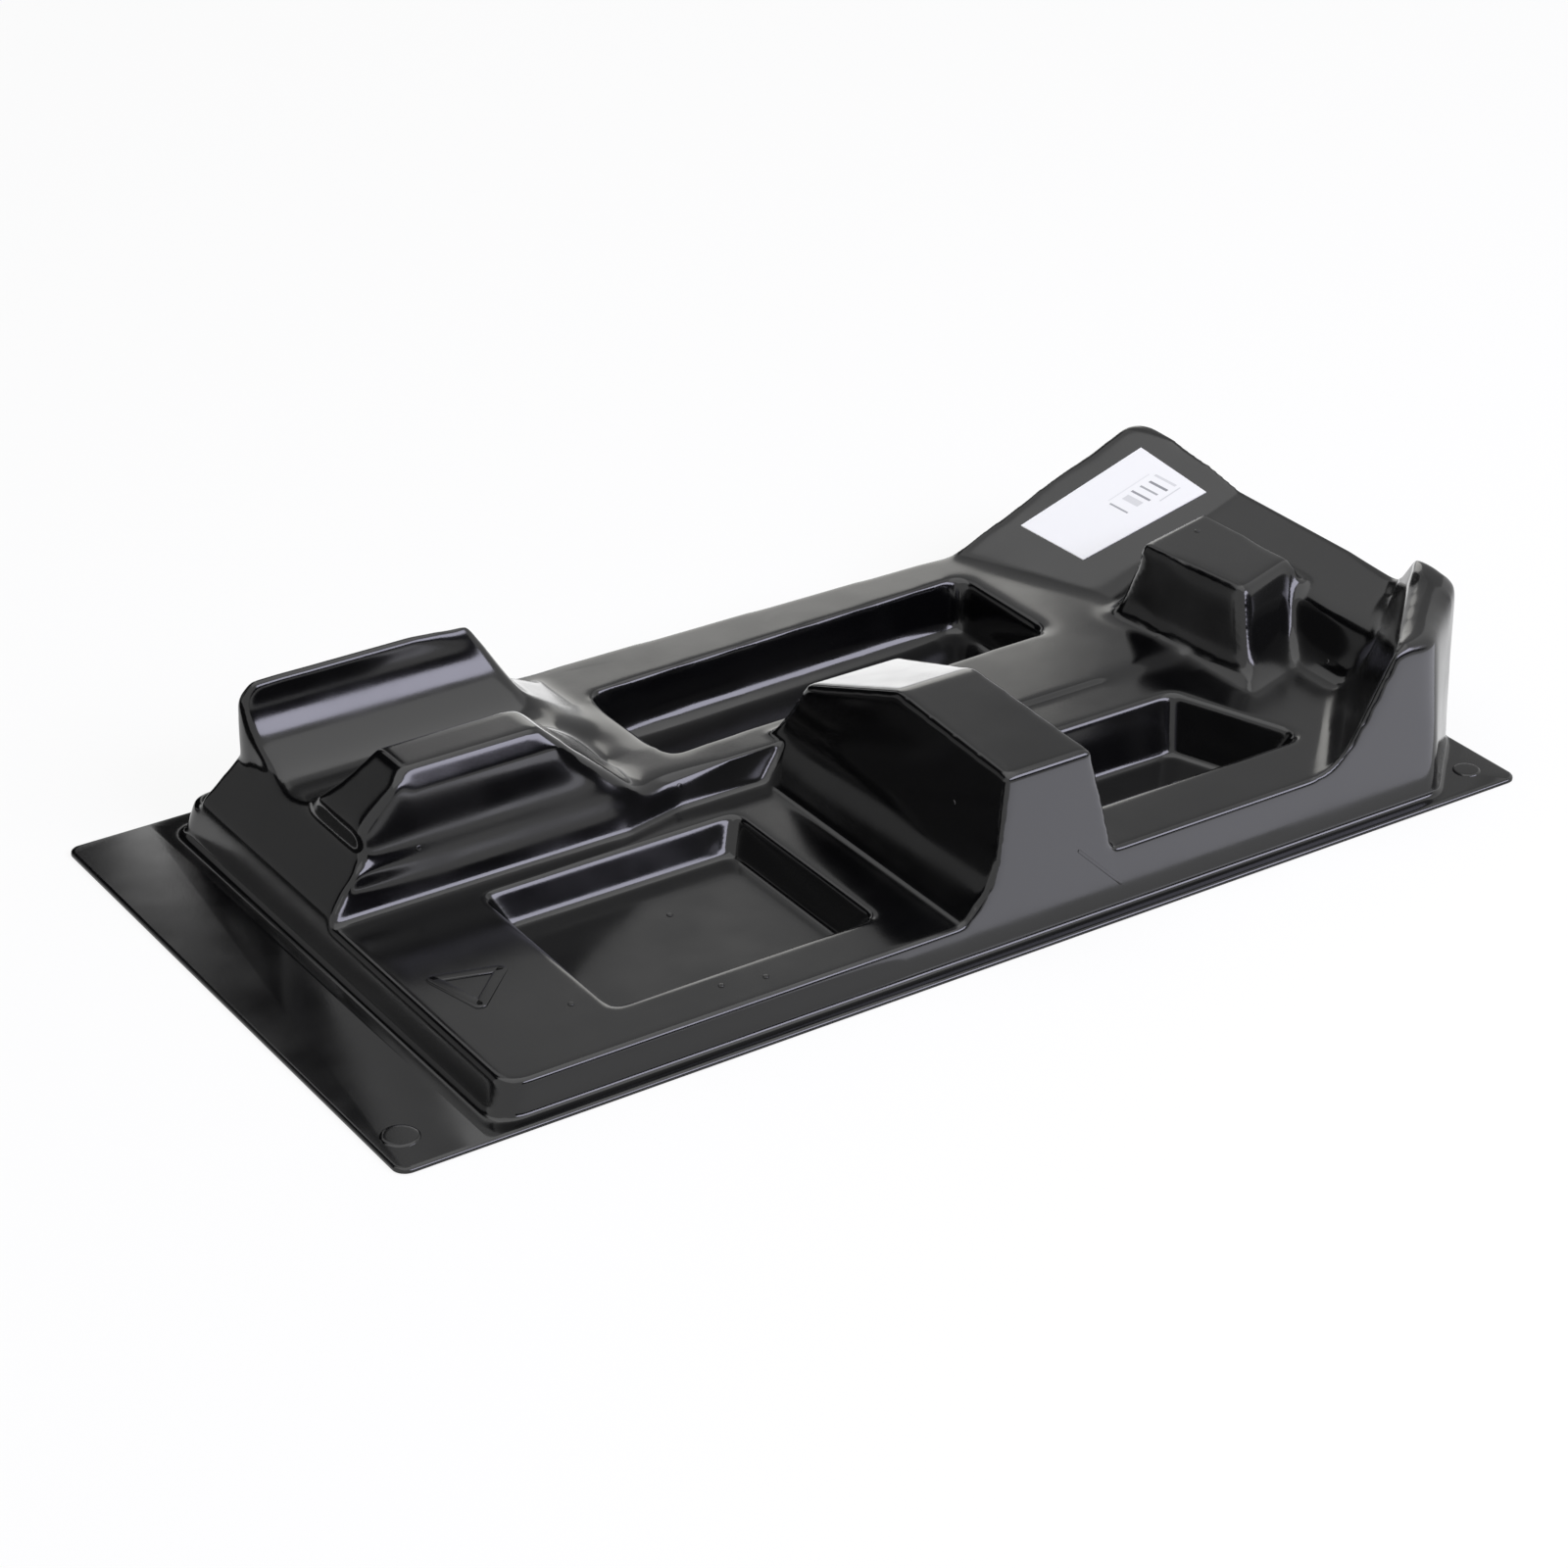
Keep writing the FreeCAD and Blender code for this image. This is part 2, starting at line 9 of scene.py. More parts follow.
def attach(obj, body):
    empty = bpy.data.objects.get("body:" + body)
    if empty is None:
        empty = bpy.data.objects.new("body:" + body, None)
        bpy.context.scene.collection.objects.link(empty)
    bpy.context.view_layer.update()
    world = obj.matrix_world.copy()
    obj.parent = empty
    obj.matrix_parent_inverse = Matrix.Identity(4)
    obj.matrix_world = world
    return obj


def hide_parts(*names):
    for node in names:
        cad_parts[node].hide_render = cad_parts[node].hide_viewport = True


# Thermoformed insert tray in black glossy sheet, with its paper label.
# The CAD node has the tray's form with tight corners. Here its upper skin is rounded the way warm
# sheet is drawn over a mould. The tray's sizes and places are in mm from the front left corner of
# the flange's upper face. The studio's are in metres from the middle of the tray's underside.

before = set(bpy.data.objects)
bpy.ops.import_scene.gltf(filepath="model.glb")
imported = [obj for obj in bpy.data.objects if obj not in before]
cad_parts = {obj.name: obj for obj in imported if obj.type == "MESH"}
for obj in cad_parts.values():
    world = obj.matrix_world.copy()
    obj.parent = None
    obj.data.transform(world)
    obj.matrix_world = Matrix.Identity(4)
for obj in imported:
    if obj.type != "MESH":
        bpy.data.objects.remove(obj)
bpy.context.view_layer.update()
print("frame loaded")

tray = {
    "length": 380,
    "width": 200,
    "sheet": 1.2,    # thickness of the CAD's sheet, so the height of the flange's upper face
}
halfLength = tray["length"] / 2000    # metres
halfWidth = tray["width"] / 2000
datum = Vector((-halfLength, -halfWidth, tray["sheet"] / 1000))


def place(x, y, z):
    # a point of the tray in the scene's metres
    return datum + Vector((x, y, z)) / 1000


def addObject(name, data):
    obj = bpy.data.objects.new(name, data)
    bpy.context.scene.collection.objects.link(obj)
    return obj


def linear(code):  # sRGB hex to the linear colour a shader takes
    parts = [int(code[i:i + 2], 16) / 255 for i in (1, 3, 5)]
    return [p / 12.92 if p <= 0.04045 else ((p + 0.055) / 1.055) ** 2.4 for p in parts] + [1]


def newMaterial(name):
    material = bpy.data.materials.new(name)
    material.use_nodes = True
    material.node_tree.nodes.clear()
    return material


def addNode(owner, kind, settings=None, inputs=None):
    # inputs takes values, or (node, output) pairs that are linked
    tree = owner.node_tree
    node = tree.nodes.new(kind)
    for key, value in (settings or {}).items():
        setattr(node, key, value)
    for key, value in (inputs or {}).items():
        if isinstance(value, tuple) and isinstance(value[0], bpy.types.Node):
            tree.links.new(value[0].outputs[value[1]], node.inputs[key])
        else:
            node.inputs[key].default_value = value
    return node


# The tray's drawn skin

skin = {
    "upward": 0.02,       # the least that a face of the upper skin looks up, as its normal's z
    "weld": 0.01,         # distance within which corners are joined
    "depth": 4,           # how far the closed form reaches below the ground while it is rebuilt
    "voxel": 0.65,        # grid that the closed form is rebuilt on
    "pull": 0.5,          # share of the way to its neighbours' mean that a pass moves a point
    "rounding": 16,       # passes of smoothing all over, about 1.5 mm of radius
    "rim": 1.5,           # band at the cut rim that isn't smoothed
    "edge": 4,            # band inside it over which the smoothing sets in
    "flat": 3,            # height that both bands reach up to, fading out over as much again
    "ground": 0.02,       # height at which the skin is cut off
    "triangles": 185000,  # the most that the upper skin has
    "wall": 1.1,          # from the upper skin to the underside
    "underShare": 0.35,   # share of the upper skin's triangles that the underside keeps
    "zoneParts": 5,       # a soft zone fades out over the outermost of so many equal parts
    # where the warm sheet bridged the mould's corners: x, y and z ranges, and passes of smoothing
    "softZones": {
        "saddleRightFoot": ((104, 160), (96, 215), (16, 75), 70),
        "saddleNotch": ((126, 158), (128, 164), (2, 46), 300),
        "saddleLeftFoot": ((34, 60), (100, 186), (8, 60), 16),
        "saddleFront": ((46, 170), (96, 124), (12, 40), 110),
        "ridgeLeftEnd": ((44, 68), (104, 128), (28, 50), 20),
        "backrestTop": ((50, 150), (160, 215), (36, 75), 8),
        "backrestCorner": ((112, 138), (162, 205), (40, 72), 40),
        "blockTop": ((184, 240), (-10, 124), (34, 66), 12),
        "rampFoot": ((292, 346), (96, 192), (14, 40), 90),
        "bowl": ((300, 372), (62, 108), (17, 46), 60),
        "bowlFront": ((326, 372), (6, 62), (17, 40), 40),
        "towerTop": ((300, 410), (-30, 80), (22, 75), 60),
        "towerCrest": ((342, 372), (8, 62), (34, 72), 200),
        "peak": ((340, 400), (150, 210), (34, 70), 60),
        "deckSeam": ((290, 330), (80, 104), (15, 24), 90),
        "slotFoot": ((150, 305), (140, 186), (-6, 18), 250),
    },
}


def upperSkin(mesh):
    # the sheet has no undercuts, so its upper skin is every face that looks up
    mesh.calc_loop_triangles()
    points = np.array([v.co for v in mesh.vertices])
    corners = np.array([t.vertices for t in mesh.loop_triangles])
    normals = np.array([t.normal for t in mesh.loop_triangles])
    used, index = np.unique(corners[normals[:, 2] > skin["upward"]], return_inverse=True)
    return points[used], index.reshape(-1, 3)


def closedForm(points, corners):
    # the upper skin with its rim carried straight down and closed underneath
    bm = bmesh.new()
    verts = [bm.verts.new(p) for p in points]
    for corner in corners:
        bm.faces.new([verts[i] for i in corner])
    bmesh.ops.remove_doubles(bm, verts=bm.verts, dist=skin["weld"] / 1000)
    rim = [e for e in bm.edges if e.is_boundary]
    grown = bmesh.ops.extrude_edge_only(bm, edges=rim)
    low = [v for v in grown["geom"] if isinstance(v, bmesh.types.BMVert)]
    for v in low:
        v.co.z = -skin["depth"] / 1000
    edges = [e for e in bm.edges if e.is_boundary]
    bmesh.ops.contextual_create(bm, geom=edges)
    bmesh.ops.triangulate(bm, faces=[f for f in bm.faces if len(f.verts) > 4])
    bmesh.ops.recalc_face_normals(bm, faces=bm.faces)
    return bm


def evaluated(obj):
    graph = bpy.context.evaluated_depsgraph_get()
    return bpy.data.meshes.new_from_object(obj.evaluated_get(graph))


def rebuilt(bm):
    # the closed form on an even grid of fine faces
    mesh = bpy.data.meshes.new("closedForm")
    bm.to_mesh(mesh)
    bm.free()
    obj = addObject("closedForm", mesh)
    modifier = obj.modifiers.new("remesh", "REMESH")
    modifier.mode = "VOXEL"
    modifier.voxel_size = skin["voxel"] / 1000
    modifier.use_smooth_shade = True
    result = evaluated(obj)
    bpy.data.objects.remove(obj)
    return result


def readRows(things, attribute, width, kind=float):
    # places, normals or edges of a mesh, one row for each
    rows = np.zeros(len(things) * width, kind)
    things.foreach_get(attribute, rows)
    return rows.reshape(-1, width)


def rimHold(points):
    # 0 for the points of the flange's cut rim, which stay where they are, and 1 for all free ones
    fromRim = np.minimum(halfLength - abs(points[:, 0]), halfWidth - abs(points[:, 1])) * 1000
    inside = np.clip((fromRim - skin["rim"]) / skin["edge"], 0, 1)
    above = np.clip((points[:, 2] * 1000 - skin["flat"]) / skin["flat"], 0, 1)
    return np.maximum(inside, above)


def smoothed(points, edges, passes, hold):
    # plain averaging with the neighbours, weaker where hold is near 0
    count = np.zeros(len(points))
    np.add.at(count, edges.ravel(), 1)
    for step in range(passes):
        total = np.zeros_like(points)
        np.add.at(total, edges[:, 0], points[edges[:, 1]])
        np.add.at(total, edges[:, 1], points[edges[:, 0]])
        points = points + (total / count[:, None] - points) * (skin["pull"] * hold)[:, None]
    return points


def softened(points, edges, ranges, passes):
    # smooths one zone only, fading out towards its limits
    inside = np.ones(len(points))
    local = (points - np.array(datum)) * 1000
    for axis, (low, high) in enumerate(ranges):
        fade = (high - low) / skin["zoneParts"]
        near = np.minimum(local[:, axis] - low, high - local[:, axis])
        inside *= np.clip(near / fade, 0, 1)
    chosen = np.flatnonzero(inside > 0)
    index = np.full(len(points), -1)
    index[chosen] = np.arange(len(chosen))
    linked = index[edges]
    linked = linked[(linked >= 0).all(axis=1)]
    points[chosen] = smoothed(points[chosen], linked, passes, inside[chosen])
    return points


def trim(mesh):
    # cuts the form off at the ground and keeps it inside the flange's outline
    bm = bmesh.new()
    bm.from_mesh(mesh)
    bmesh.ops.bisect_plane(
        bm, geom=bm.verts[:] + bm.edges[:] + bm.faces[:], clear_inner=True,
        plane_co=(0, 0, skin["ground"] / 1000), plane_no=(0, 0, 1),
    )
    for v in bm.verts:
        v.co.x = min(max(v.co.x, -halfLength), halfLength)
        v.co.y = min(max(v.co.y, -halfWidth), halfWidth)
    bm.to_mesh(mesh)
    bm.free()


def decimate(obj, share):
    # thins the object's mesh to a share of its triangles
    modifier = obj.modifiers.new("decimate", "DECIMATE")
    modifier.ratio = share
    thinned = evaluated(obj)
    obj.modifiers.clear()
    obj.data = thinned
    thinned.name = obj.name


def shadeSmooth(mesh):
    for polygon in mesh.polygons:
        polygon.use_smooth = True


def drawnSkin():
    # the upper skin of the CAD node, rounded as the sheet was drawn
    form = closedForm(*upperSkin(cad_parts["tray"].data))
    print("closed form", len(form.faces))
    mesh = rebuilt(form)
    print("rebuilt", len(mesh.vertices))
    points = readRows(mesh.vertices, "co", 3)
    edges = readRows(mesh.edges, "vertices", 2, int)
    points = smoothed(points, edges, skin["rounding"], rimHold(points))
    for *ranges, passes in skin["softZones"].values():
        points = softened(points, edges, ranges, passes)
    mesh.vertices.foreach_set("co", points.ravel())
    mesh.update()
    trim(mesh)
    obj = addObject("traySkin", mesh)
    mesh.calc_loop_triangles()
    have = len(mesh.loop_triangles)
    decimate(obj, min(1, skin["triangles"] / have))
    shadeSmooth(obj.data)
    print("tray skin", have, len(obj.data.polygons))
    return obj


def drawnUnderside():
    # the underside follows the upper skin at one sheet's thickness
    obj = addObject("trayUnderside", skinObject.data.copy())
    decimate(obj, skin["underShare"])
    mesh = obj.data
    inwards = -readRows(mesh.vertices, "normal", 3)
    points = readRows(mesh.vertices, "co", 3) + inwards * skin["wall"] / 1000
    points[:, 2] = np.maximum(points[:, 2], skin["ground"] / 1000)
    mesh.vertices.foreach_set("co", points.ravel())
    mesh.flip_normals()
    mesh.update()
    print("underside", len(mesh.polygons))
    return obj


skinObject = drawnSkin()
underObject = drawnUnderside()
for obj in (skinObject, underObject):
    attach(obj, "root")
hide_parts("tray")


# Small raised forms on the skin

down = (0, 0, -1)
toBack = (0, 1, 0)
toRight = (1, 0, 0)

raised = {
    "discs": {                       # ejector marks in the flange's front corners
        "left": (8.3, 14.8, 5.4),    # x, y and radius
        "right": (369.5, 11.5, 4.2),
    },
    "discHeight": 0.4,
    "mark": (52.5, 55),              # centre of the plain embossed triangle on the platform
    "markReach": 5.6,                # from the centre to the middle of each bar
    "markTurn": 73,                  # degrees from +X to the first bar
    "markBar": (18, 1.8, 0.5),       # length, half width and height of a bar
    "rayHeight": 30,                 # where the rays down to the discs and the bars start
    "crease": (227, -30, 14),        # ray's start for the low seam in the front wall
    "creaseTurn": 90,
    "creaseBar": (20, 0.5, 0.2),     # length, half width and height
    "nub": (0.9, 0.3),               # radius and height of the nub that a vent of the mould leaves
    "vents": (                       # ray's start and the way to the surface
        ((125.2, 71.1, 30), down),
        ((69.7, 31.7, 30), down),
        ((120.5, 14.7, 30), down),
        ((108, 17.5, 30), down),
        ((115, 147, 80), down),
        ((348.9, 117.5, 80), down),
        ((352.4, 57.6, 80), down),
        ((152.5, 60, 15.8), toBack),
        ((160, 30.8, 33.7), toRight),
        ((65.7, 60, 23.5), toBack),
    ),
    # rings of a raised form from its foot in the sheet to its top: shares of the radius and height
    "rings": ((1.05, -0.8), (1.0, 0.0), (0.97, 0.45), (0.9, 0.8), (0.8, 0.96), (0.66, 1.0)),
    "ringPoints": 28,
    "level": 0.7,                    # a surface whose normal's z is above this counts as level
}


def surfaceAt(start, direction):
    # the first point of the skin from a start along a direction, and its outward normal
    found, normal, _, _ = skinTree.ray_cast(place(*start), Vector(direction))
    return found, -normal if normal.dot(Vector(direction)) > 0 else normal


def addButton(bm, found, normal, turn, length, radius, height):
    # low round-edged button or bar: rings of a stadium shape stacked along the normal
    sloping = abs(normal.z) < raised["level"]
    across = normal.orthogonal().normalized() if sloping else Vector(toRight)
    along = (across - normal * across.dot(normal)).normalized()
    side = normal.cross(along)
    cosine = math.cos(math.radians(turn))
    sine = math.sin(math.radians(turn))
    u = along * cosine + side * sine
    v = side * cosine - along * sine
    count = raised["ringPoints"]
    rings = []
    for share, lift in raised["rings"]:
        ring = []
        for i in range(count):
            angle = 2 * math.pi * i / count
            shift = math.copysign(length / 2, math.cos(angle)) if length else 0
            x = math.cos(angle) * radius * share + shift
            y = math.sin(angle) * radius * share
            ring.append(bm.verts.new(found + (u * x + v * y + normal * height * lift) / 1000))
        rings.append(ring)
    for low, high in zip(rings, rings[1:]):
        for i in range(count):
            j = (i + 1) % count
            bm.faces.new((low[i], low[j], high[j], high[i]))
    bm.faces.new(rings[-1])
    bm.faces.new(rings[0][::-1])


def raisedPiece(name, buttons):
    # buttons are (start, direction, turn, length, radius, height), seated on the skin
    bm = bmesh.new()
    for start, direction, *shape in buttons:
        found, normal = surfaceAt(start, direction)
        addButton(bm, found, normal, *shape)
    mesh = bpy.data.meshes.new(name)
    bm.to_mesh(mesh)
    bm.free()
    shadeSmooth(mesh)
    obj = addObject(name, mesh)
    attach(obj, "root")
    return obj


def triangleBars():
    # three bars, each across the line from the mark's centre to its middle
    bars = []
    for k in range(3):
        turn = raised["markTurn"] + 120 * k
        x = raised["mark"][0] + raised["markReach"] * math.cos(math.radians(turn))
        y = raised["mark"][1] + raised["markReach"] * math.sin(math.radians(turn))
        bars.append(((x, y, raised["rayHeight"]), down, turn + 90, *raised["markBar"]))
    return bars


skinTree = BVHTree.FromPolygons(
    [v.co for v in skinObject.data.vertices], [tuple(p.vertices) for p in skinObject.data.polygons])
discs = [
    ((x, y, raised["rayHeight"]), down, 0, 0, radius, raised["discHeight"])
    for x, y, radius in raised["discs"].values()
]
nubs = [(start, direction, 0, 0, *raised["nub"]) for start, direction in raised["vents"]]
crease = [(raised["crease"], toBack, raised["creaseTurn"], *raised["creaseBar"])]
raisedObjects = [
    raisedPiece("flangeDiscs", discs),
    raisedPiece("platformMark", triangleBars()),
    raisedPiece("ventNubs", nubs),
    raisedPiece("frontCrease", crease),
]
print("raised forms", len(raisedObjects))


# Materials

sheetLook = {
    "colour": "#060607",          # carbon black
    "roughness": (0.10, 0.19),    # from the glossier to the duller patches
    "ior": 1.53,                  # polystyrene, a little under its 1.59
    "orangePeel": 22.0,           # length of the drawn sheet's slow waves
    "peelBump": (0.04, 1.2),      # their strength, and the height that it is a share of
    "peelDetail": 2.0,
    "grain": 0.8,                 # the mould's fine tooth, drawn coarser so that it shows
    "grainBump": (0.1, 0.04),
    "grainDetail": 1.0,
    "noiseSpan": (0.3, 0.7),      # values that the noise mostly keeps to
}


def sheetMaterial():
    # high impact polystyrene sheet, thermoformed: softly glossy black with a slow ripple
    material = newMaterial("thermoformedPolystyrene")
    peelStrength, peelHeight = sheetLook["peelBump"]
    grainStrength, grainHeight = sheetLook["grainBump"]
    least, most = sheetLook["noiseSpan"]
    glossy, dull = sheetLook["roughness"]
    coordinates = addNode(material, "ShaderNodeTexCoord")
    ripple = addNode(material, "ShaderNodeTexNoise", inputs={
        "Vector": (coordinates, "Object"), "Scale": 1000 / sheetLook["orangePeel"],
        "Detail": sheetLook["peelDetail"]})
    grain = addNode(material, "ShaderNodeTexNoise", inputs={
        "Vector": (coordinates, "Object"), "Scale": 1000 / sheetLook["grain"],
        "Detail": sheetLook["grainDetail"]})
    waves = addNode(material, "ShaderNodeBump", inputs={
        "Height": (ripple, "Fac"), "Strength": peelStrength, "Distance": peelHeight / 1000})
    tooth = addNode(material, "ShaderNodeBump", inputs={
        "Height": (grain, "Fac"), "Strength": grainStrength, "Distance": grainHeight / 1000,
        "Normal": (waves, "Normal")})
    gloss = addNode(material, "ShaderNodeMapRange", inputs={
        "Value": (ripple, "Fac"), "From Min": least, "From Max": most, "To Min": glossy, "To Max": dull})
    shader = addNode(material, "ShaderNodeBsdfPrincipled", inputs={
        "Base Color": linear(sheetLook["colour"]), "Roughness": (gloss, "Result"),
        "IOR": sheetLook["ior"], "Normal": (tooth, "Normal")})
    addNode(material, "ShaderNodeOutputMaterial", inputs={"Surface": (shader, "BSDF")})
    return material


labelLook = {
    "paper": "#F4F4F3",
    "ink": "#8E8F92",
    "roughness": 0.55,
    "ior": 1.5,
    "fibre": 0.6,                 # the paper's fibres, drawn coarser so that they show
    "fibreBump": (0.08, 0.03),    # strength, and the height that it is a share of
    "fibreDetail": 2.0,
    # from above: one corner, the end of the length and the end of the width
    "corners": ((325.8, 177.7), (369.1, 172.0), (330.7, 151.0)),
    # shares of the label: start and end along the length, then across the width, and how dark
    "bars": (
        (0.480, 0.494, 0.49, 0.77, 0.85),
        (0.565, 0.618, 0.53, 0.77, 0.35),
        (0.648, 0.666, 0.51, 0.80, 0.95),
        (0.716, 0.732, 0.52, 0.79, 0.80),
        (0.780, 0.800, 0.54, 0.82, 1.00),
        (0.846, 0.866, 0.50, 0.83, 0.35),
        (0.500, 0.840, 0.43, 0.45, 0.18),
        (0.690, 0.860, 0.88, 0.90, 0.35),
    ),
}


def paperMaterial():
    # coated label paper, thermal printed: flat matt white with short grey bars
    material = newMaterial("coatedLabelPaper")
    strength, height = labelLook["fibreBump"]
    coordinates = addNode(material, "ShaderNodeTexCoord")
    origin, endLong, endWide = (np.array(place(x, y, 0))[:2] for x, y in labelLook["corners"])
    inverse = np.linalg.inv(np.column_stack((endLong - origin, endWide - origin)))
    shifted = addNode(material, "ShaderNodeVectorMath", {"operation": "SUBTRACT"}, {
        0: (coordinates, "Object"), 1: (origin[0], origin[1], 0)})
    alongLength, acrossWidth = (
        addNode(material, "ShaderNodeVectorMath", {"operation": "DOT_PRODUCT"}, {
            0: (shifted, "Vector"), 1: (row[0], row[1], 0)})
        for row in inverse
    )
    ink = None
    for left, right, top, bottom, dark in labelLook["bars"]:
        inLength, inWidth = (
            addNode(material, "ShaderNodeMath", {"operation": "COMPARE"}, {
                0: (share, "Value"), 1: (low + high) / 2, 2: (high - low) / 2})
            for share, low, high in ((alongLength, left, right), (acrossWidth, top, bottom))
        )
        bar = addNode(material, "ShaderNodeMath", {"operation": "MULTIPLY"}, {
            0: (inLength, "Value"), 1: (inWidth, "Value")})
        before = (ink, "Value") if ink else 0.0
        ink = addNode(material, "ShaderNodeMath", {"operation": "MULTIPLY_ADD"}, {
            0: (bar, "Value"), 1: dark, 2: before})
    fibres = addNode(material, "ShaderNodeTexNoise", inputs={
        "Vector": (coordinates, "Object"), "Scale": 1000 / labelLook["fibre"],
        "Detail": labelLook["fibreDetail"]})
    colour = addNode(material, "ShaderNodeMix", {"data_type": "RGBA"}, {
        "Factor": (ink, "Value"), 6: linear(labelLook["paper"]), 7: linear(labelLook["ink"])})
    tooth = addNode(material, "ShaderNodeBump", inputs={
        "Height": (fibres, "Fac"), "Strength": strength, "Distance": height / 1000})
    shader = addNode(material, "ShaderNodeBsdfPrincipled", inputs={
        "Base Color": (colour, 2), "Roughness": labelLook["roughness"], "IOR": labelLook["ior"],
        "Normal": (tooth, "Normal")})
    addNode(material, "ShaderNodeOutputMaterial", inputs={"Surface": (shader, "BSDF")})
    return material


sheet = sheetMaterial()
for obj in (skinObject, underObject, *raisedObjects):
    obj.data.materials.clear()
    obj.data.materials.append(sheet)
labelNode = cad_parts["label"]
labelNode.data.materials.clear()
labelNode.data.materials.append(paperMaterial())
print("materials made")


# Studio: camera, floor, softboxes and cards

camera = {
    "at": (-379.6, -747.9, 567.4),   # mm from the tray's front left corner
    "turn": 33.56,                   # degrees from looking along +Y towards +X
    "dip": 28.87,                    # degrees below level
    "lens": 91.24,
    "sensor": 36,
    "rise": 0.0094,                  # shift of the lens, as a share of the picture's width
    "clip": (0.05, 20),
}


def setCamera():
    data = bpy.data.cameras.new("camera")
    data.lens = camera["lens"]
    data.sensor_width = camera["sensor"]
    data.sensor_fit = "AUTO"
    data.shift_y = camera["rise"]
    data.clip_start, data.clip_end = camera["clip"]
    obj = addObject("camera", data)
    obj.location = place(*camera["at"])
    obj.rotation_euler = (math.radians(90 - camera["dip"]), 0, -math.radians(camera["turn"]))
    bpy.context.scene.camera = obj


def upright(y, left, right, low, high):
    return [(left, y, low), (right, y, low), (right, y, high), (left, y, high)]


def lying(z, left, right, front, back):
    return [(left, front, z), (right, front, z), (right, back, z), (left, back, z)]


studio = {
    "floor": "#F2F2F0",
    "floorSize": 12,
    "floorDrop": 0.0003,     # how far the floor lies below the tray, so that their faces keep apart
    "whiteShare": 0.85,      # how much of the floor's white is its own, so that the rest keeps a shadow
    "room": "#E4E5E6",       # light that fills the shadows
    "roomStrength": 0.6,
    # place, aim, width and height, power in watts and colour
    "softboxes": {
        "softboxFront": ((0.583, -1.098, 0.83), (0, 0, 0.03), (1.3, 0.6), 18, "#E9E8FF"),
        "softboxLow": ((0.4, -0.36, 0.0008), (0.4, -0.36, 1), (0.84, 0.5), 2.0, "#F0F0FF"),
        "softboxFloor": ((0.25, 0.38, 0.0008), (0.25, 0.38, 1), (0.5, 0.4), 0.95, "#FFFFFF"),
        "softboxBack": ((0.82, 1.28, 0.46), (0, 0, 0.03), (0.42, 0.62), 0.85, "#FFFDF6"),
        "softboxTop": ((0, 0, 1.9), (0, 0, 0), (2.4, 2.4), 15, "#FFFFFF"),
    },
    # shade and corners
    "cards": {
        "cardBehind": ("#181818", upright(0.75, -0.45, 0.05, 0, 0.6)),
        "cardAbove": ("#181818", upright(0.75, -1.3, -0.1, 0.58, 1.1)),
        "cardSide": ("#A8A8A8", upright(0.752, -1.3, -0.45, 0, 0.58)),
        "cardLeft": ("#383838", lying(0.0005, -1.3, -0.2, -0.1, 0.75)),
        "cardPost": ("#404040", upright(1.25, 0.27, 0.46, 0, 1.1)),
        "cardWall": ("#CCCCCC", upright(1.5, 0.53, 1.25, 0.93, 2.3)),
        "cardWallRight": ("#BBBBBB", upright(1.5, 1.25, 2.6, 0.2, 2.3)),
        "cardFront": ("#101010", upright(-1.12, -0.2, 1.5, 0.2, 0.52)),
    },
}
white = (1, 1, 1, 1)


def seenWhite(owner):
    # 1 for the rays that see the background: the camera's, reflections and refractions
    path = addNode(owner, "ShaderNodeLightPath")
    mirrored = addNode(owner, "ShaderNodeMath", {"operation": "MAXIMUM"}, {
        0: (path, "Is Camera Ray"), 1: (path, "Is Glossy Ray")})
    return addNode(owner, "ShaderNodeMath", {"operation": "MAXIMUM"}, {
        0: (mirrored, "Value"), 1: (path, "Is Transmission Ray")})


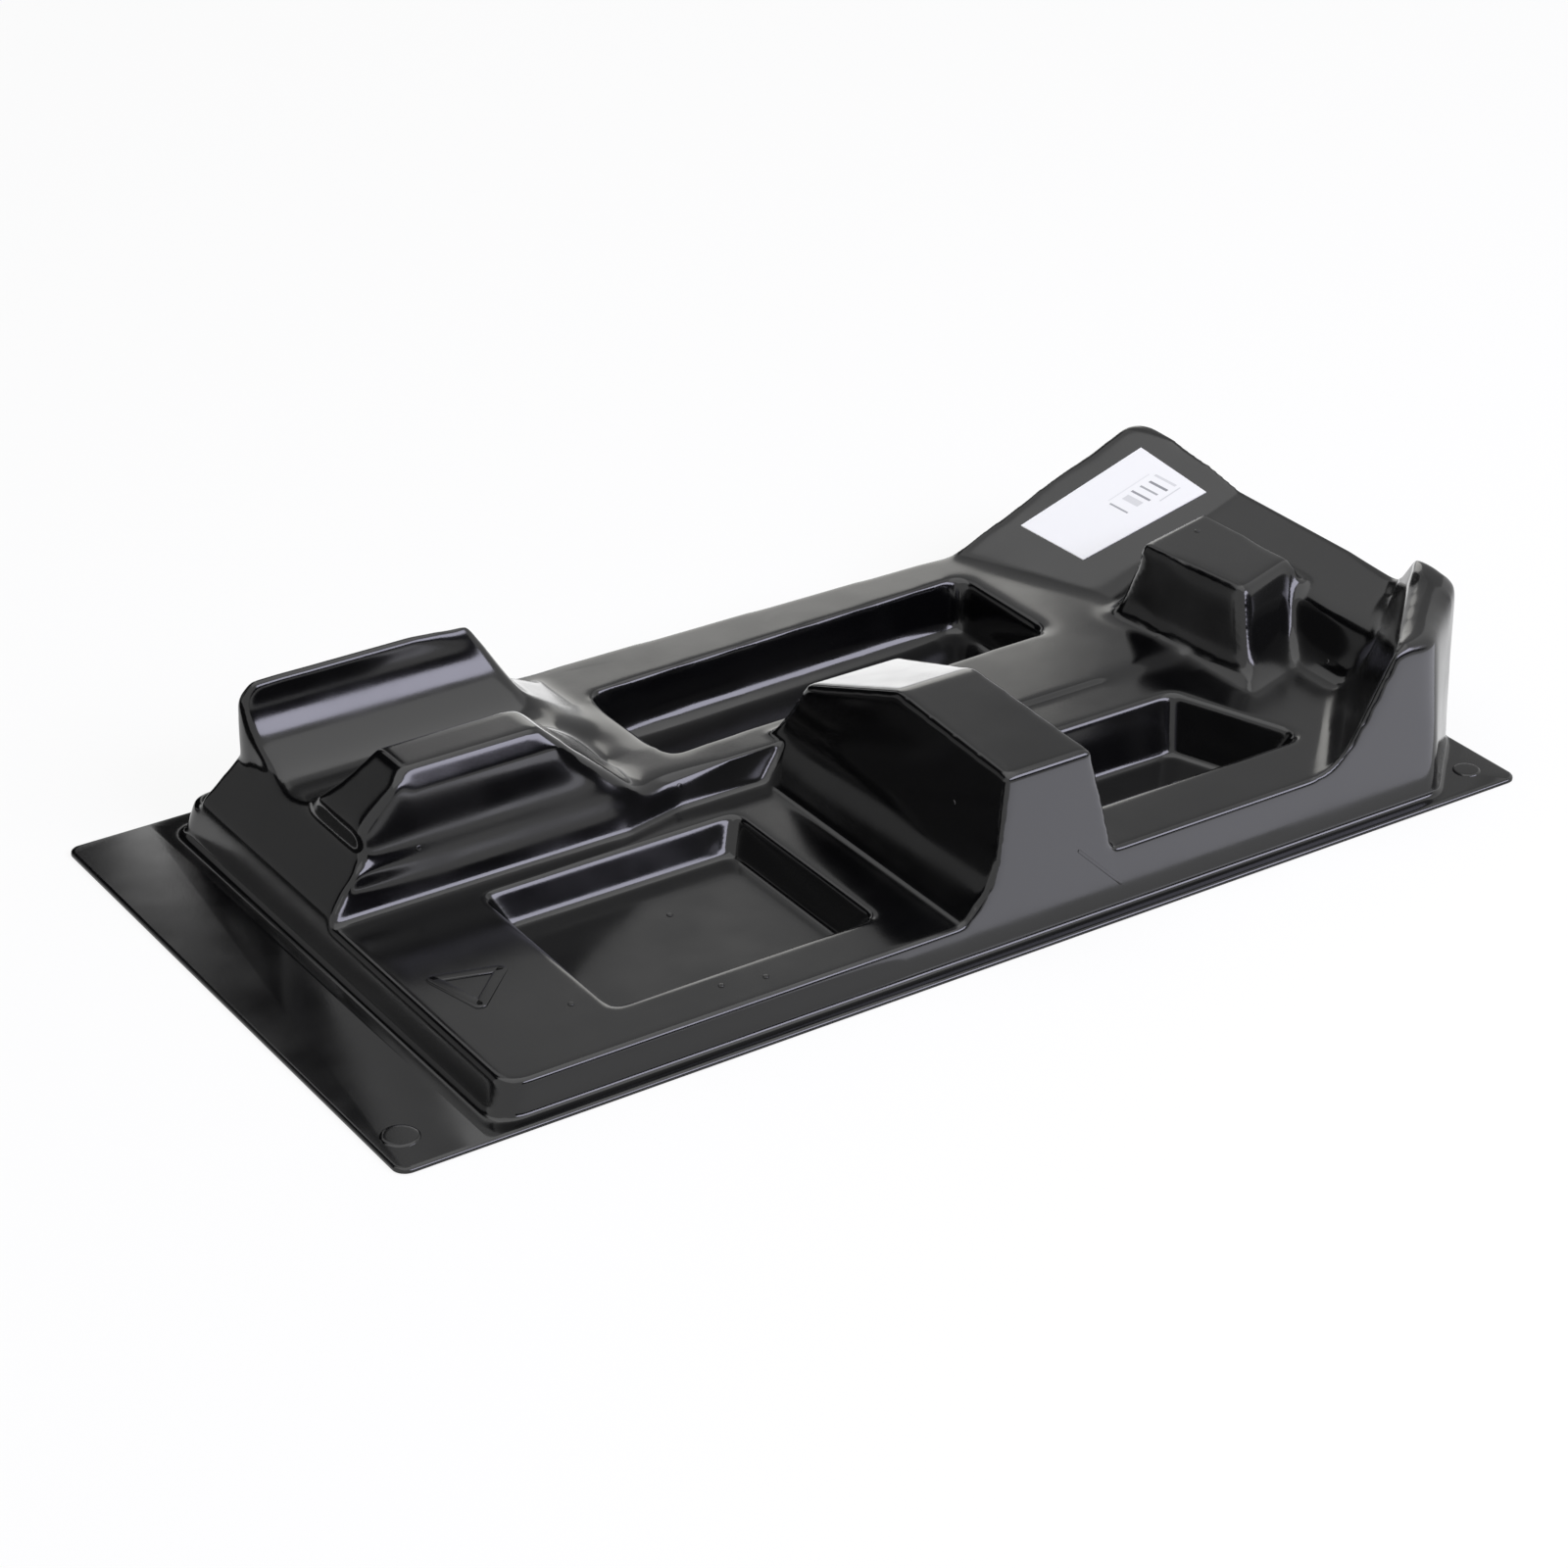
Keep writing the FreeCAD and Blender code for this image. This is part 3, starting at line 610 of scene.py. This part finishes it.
def makeFloor():
    bpy.ops.mesh.primitive_plane_add(size=studio["floorSize"], location=(0, 0, -studio["floorDrop"]))
    floor = bpy.context.object
    floor.name = "floor"
    material = newMaterial("studioFloor")
    lit = addNode(material, "ShaderNodeBsdfDiffuse", inputs={"Color": linear(studio["floor"])})
    plain = addNode(material, "ShaderNodeEmission", inputs={"Color": white, "Strength": 1.0})
    share = addNode(material, "ShaderNodeMath", {"operation": "MULTIPLY"}, {
        0: (seenWhite(material), "Value"), 1: studio["whiteShare"]})
    mixed = addNode(material, "ShaderNodeMixShader", inputs={
        0: (share, "Value"), 1: (lit, 0), 2: (plain, 0)})
    addNode(material, "ShaderNodeOutputMaterial", inputs={"Surface": (mixed, "Shader")})
    floor.data.materials.append(material)


def makeWorld():
    world = bpy.data.worlds.new("studio")
    bpy.context.scene.world = world
    world.use_nodes = True
    world.node_tree.nodes.clear()
    room = addNode(world, "ShaderNodeBackground", inputs={
        "Color": linear(studio["room"]), "Strength": studio["roomStrength"]})
    plain = addNode(world, "ShaderNodeBackground", inputs={"Color": white, "Strength": 1.0})
    mixed = addNode(world, "ShaderNodeMixShader", inputs={
        0: (seenWhite(world), "Value"), 1: (room, 0), 2: (plain, 0)})
    addNode(world, "ShaderNodeOutputWorld", inputs={"Surface": (mixed, "Shader")})


def addSoftbox(name, at, aim, size, power, colour):
    data = bpy.data.lights.new(name, "AREA")
    data.shape = "RECTANGLE"
    data.size, data.size_y = size
    data.energy = power
    data.color = linear(colour)[:3]
    obj = addObject(name, data)
    obj.location = at
    obj.rotation_euler = (Vector(aim) - Vector(at)).to_track_quat("-Z", "Y").to_euler()
    obj.visible_camera = False


def addCard(name, shade, corners):
    # card of the studio, which only reflections see
    mesh = bpy.data.meshes.new(name)
    mesh.from_pydata(corners, [], [(0, 1, 2, 3)])
    obj = addObject(name, mesh)
    material = newMaterial(name)
    plain = addNode(material, "ShaderNodeEmission", inputs={"Color": linear(shade), "Strength": 1.0})
    addNode(material, "ShaderNodeOutputMaterial", inputs={"Surface": (plain, "Emission")})
    mesh.materials.append(material)
    obj.visible_camera = False
    obj.visible_diffuse = False
    obj.visible_shadow = False
    obj.visible_transmission = False


setCamera()
makeFloor()
makeWorld()
for name, settings in studio["softboxes"].items():
    addSoftbox(name, *settings)
for name, settings in studio["cards"].items():
    addCard(name, *settings)
bpy.context.scene.view_settings.view_transform = "Standard"
print("studio ready")
